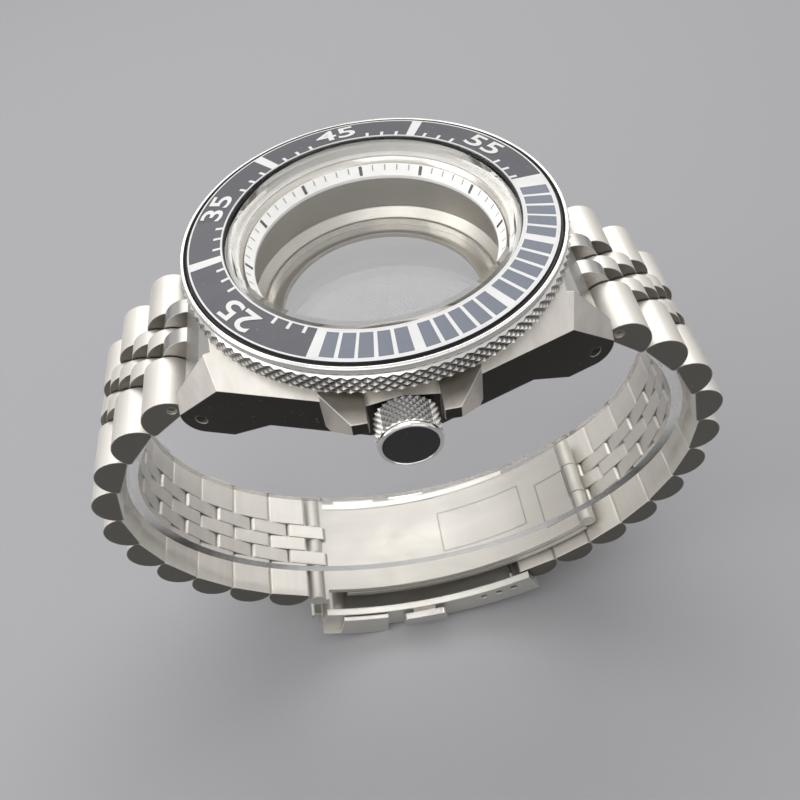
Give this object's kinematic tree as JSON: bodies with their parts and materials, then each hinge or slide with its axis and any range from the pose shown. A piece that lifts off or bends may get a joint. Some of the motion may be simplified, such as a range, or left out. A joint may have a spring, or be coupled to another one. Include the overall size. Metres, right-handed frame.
{
  "type": "watch case with bracelet",
  "caption": "Empty steel diver's watch case with rotating bezel, screw-down crown, crystal and glass back, on a five-link bracelet with a fold-over clasp and a clear former.",
  "frame": {"origin": "on the axis of the movement bore, at the plane where the dial rests against its ledge", "axes": "+Z out of the dial side, +X through the lugs towards the right of the picture, -Y towards the crown"},
  "size_m": [0.0828, 0.0466, 0.0747],
  "materials": {
    "case_steel": "satin and brushed with polished edges",
    "polished_steel": "polished",
    "link_steel": "satin",
    "blade_steel": "satin sheet with engraved frames",
    "insert_print": "matt anodised, two tones with white marks",
    "chapter_print": "matt, printed ticks",
    "clear_crystal": "clear, polished",
    "clear_back_glass": "clear, polished",
    "clear_plastic": "clear, slightly scuffed",
    "black_rubber": "matt",
    "white_gasket": "matt",
    "crown_black": "satin black",
    "spring_steel": "bright wire"
  },
  "bodies": {
    "case": {"mid_case": "case_steel", "crown_tube": "spring_steel", "chapter_ring": "chapter_print", "crystal": "clear_crystal", "crystal_gasket": "white_gasket", "bezel_gasket": "black_rubber", "bezel_click_spring": "spring_steel", "lug_bar_left": "spring_steel", "lug_bar_right": "spring_steel", "end_link_left": "case_steel", "end_link_right": "case_steel", "case_back_gasket": "black_rubber"},
    "bezel": {"bezel_ring": "polished_steel", "bezel_insert": "insert_print"},
    "crown_stem": {"crown_core": "spring_steel", "crown_spring": "spring_steel"},
    "crown": {"crown": "polished_steel", "crown_disc": "crown_black", "crown_gasket": "black_rubber"},
    "case_back": {"case_back_ring": "case_steel", "case_back_glass": "clear_back_glass", "case_back_glass_gasket": "black_rubber"},
    "former": {"clear_former": "clear_plastic"},
    "inner_blade": {"clasp_inner_blade": "blade_steel", "clasp_blade_bar": "spring_steel", "clasp_fold_pin": "spring_steel"},
    "middle_blade": {"clasp_middle_blade": "blade_steel", "clasp_cover_pin": "spring_steel"},
    "cover": {"clasp_cover": "case_steel", "clasp_lock_pin": "spring_steel"},
    "button_front": {"clasp_button_front": "case_steel"},
    "button_back": {"clasp_button_back": "case_steel"},
    "lock": {"clasp_lock": "case_steel"},
    "left_01": {"link_left_01": "link_steel", "link_left_02": "link_steel", "link_left_03": "link_steel", "link_left_04": "link_steel", "link_left_05": "link_steel"},
    "left_06": {"link_left_06": "link_steel", "link_left_07": "link_steel", "link_left_08": "link_steel", "link_left_09": "link_steel", "link_left_10": "link_steel"},
    "right_01": {"link_right_01": "link_steel", "link_right_02": "link_steel"},
    "right_03": {"link_right_03": "link_steel", "link_right_04": "link_steel"},
    "right_05": {"link_right_05": "link_steel", "link_right_06": "link_steel"},
    "right_07": {"link_right_07": "link_steel", "link_right_08": "link_steel"},
    "right_09": {"link_right_09": "link_steel", "link_right_10": "link_steel"},
    "right_11": {"link_right_11": "link_steel", "clasp_cover_bar": "spring_steel"}
  },
  "joints": [
    {"name": "bezel_turn", "type": "hinge", "parent": "case", "child": "bezel", "pos_m": [0, 0, 0.0035], "axis": [0, 0, 1], "continuous": true},
    {"name": "crown_pull", "type": "slide", "parent": "case", "child": "crown_stem", "axis": [0, -1, 0], "range_m": [0, 0.002]},
    {"name": "crown_turn", "type": "hinge", "parent": "crown_stem", "child": "crown", "pos_m": [0, -0.0232, -0.0021], "axis": [0, -1, 0], "continuous": true},
    {"name": "case_back_lift", "type": "slide", "parent": "case", "child": "case_back", "axis": [0, 0, -1], "range_m": [0, 0.008]},
    {"name": "former_slide", "type": "slide", "parent": "case", "child": "former", "axis": [0, -1, 0], "range_m": [0, 0.03]},
    {"name": "left_turn_01", "type": "hinge", "parent": "case", "child": "left_01", "pos_m": [-0.0254, 0, -0.0069], "axis": [0, 1, 0], "range_deg": [0, 12]},
    {"name": "left_turn_06", "type": "hinge", "parent": "left_01", "child": "left_06", "pos_m": [-0.03872, 0, -0.03478], "axis": [0, 1, 0], "range_deg": [0, 12]},
    {"name": "blade_turn", "type": "hinge", "parent": "left_06", "child": "inner_blade", "pos_m": [-0.01779, 0, -0.05871], "axis": [0, 1, 0], "range_deg": [0, 12]},
    {"name": "clasp_open", "type": "hinge", "parent": "inner_blade", "child": "middle_blade", "pos_m": [0.02587, 0, -0.05181], "axis": [0, -1, 0], "range_deg": [0, 110]},
    {"name": "cover_turn", "type": "hinge", "parent": "middle_blade", "child": "cover", "pos_m": [-0.01557, 0, -0.0641], "axis": [0, 1, 0], "range_deg": [0, 115]},
    {"name": "right_turn_01", "type": "hinge", "parent": "case", "child": "right_01", "pos_m": [0.0254, 0, -0.0069], "axis": [0, -1, 0], "range_deg": [0, 14]},
    {"name": "right_turn_03", "type": "hinge", "parent": "right_01", "child": "right_03", "pos_m": [0.035, 0, -0.01586], "axis": [0, -1, 0], "range_deg": [0, 14]},
    {"name": "right_turn_05", "type": "hinge", "parent": "right_03", "child": "right_05", "pos_m": [0.03928, 0, -0.02821], "axis": [0, -1, 0], "range_deg": [0, 14]},
    {"name": "right_turn_07", "type": "hinge", "parent": "right_05", "child": "right_07", "pos_m": [0.03704, 0, -0.04115], "axis": [0, -1, 0], "range_deg": [0, 14]},
    {"name": "right_turn_09", "type": "hinge", "parent": "right_07", "child": "right_09", "pos_m": [0.03008, 0, -0.0523], "axis": [0, -1, 0], "range_deg": [0, 14]},
    {"name": "right_turn_11", "type": "hinge", "parent": "right_09", "child": "right_11", "pos_m": [0.01965, 0, -0.06031], "axis": [0, -1, 0], "range_deg": [0, 14]},
    {"name": "button_front_press", "type": "slide", "parent": "cover", "child": "button_front", "axis": [0, 1, 0], "range_m": [0, 0.0005], "stiffness_N_per_m": 300},
    {"name": "button_back_press", "type": "slide", "parent": "cover", "child": "button_back", "axis": [0, -1, 0], "range_m": [0, 0.0005], "stiffness_N_per_m": 300},
    {"name": "lock_turn", "type": "hinge", "parent": "cover", "child": "lock", "pos_m": [-0.01937, 0, -0.0656], "axis": [0, 1, 0], "range_deg": [0, 100]}
  ],
  "couplings": [
    {"joint": "left_turn_01", "follows": "clasp_open", "ratio": 0.055},
    {"joint": "left_turn_06", "follows": "clasp_open", "ratio": 0.055},
    {"joint": "blade_turn", "follows": "clasp_open", "ratio": 0.055},
    {"joint": "cover_turn", "follows": "clasp_open", "ratio": 1},
    {"joint": "right_turn_01", "follows": "clasp_open", "ratio": 0.125},
    {"joint": "right_turn_03", "follows": "clasp_open", "ratio": 0.125},
    {"joint": "right_turn_05", "follows": "clasp_open", "ratio": 0.125},
    {"joint": "right_turn_07", "follows": "clasp_open", "ratio": 0.125},
    {"joint": "right_turn_09", "follows": "clasp_open", "ratio": 0.125},
    {"joint": "right_turn_11", "follows": "clasp_open", "ratio": 0.125}
  ]
}
